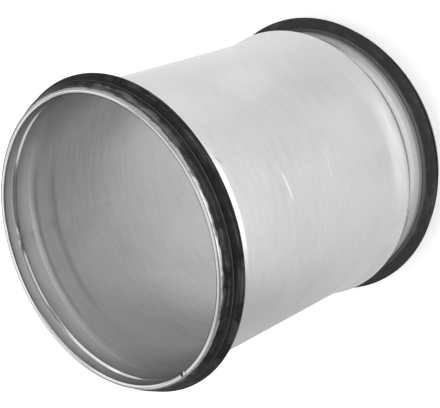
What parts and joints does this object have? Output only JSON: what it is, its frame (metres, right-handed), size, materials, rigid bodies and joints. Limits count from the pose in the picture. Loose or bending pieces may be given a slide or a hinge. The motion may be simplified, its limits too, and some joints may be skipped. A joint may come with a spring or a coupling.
{
  "type": "duct connector",
  "caption": "Smooth round sheet-steel connector that joins two ventilation ducts end to end, with a finned rubber gasket held in the folded edge at each mouth.",
  "frame": {"origin": "centre of the lower mouth, in the plane that the connector stands on", "axes": "+Z along the duct axis from the lower mouth to the upper mouth; X and Y are any two directions across it"},
  "size_m": [0.132, 0.132, 0.15],
  "materials": {
    "steel": "satin zinc-coated sheet, faint grain around the tube",
    "rubber": "matt black, dusty and scuffed along the lips"
  },
  "bodies": {
    "root": {"duct_sleeve": "steel", "upper_gasket": "rubber", "lower_gasket": "rubber"}
  },
  "joints": []
}
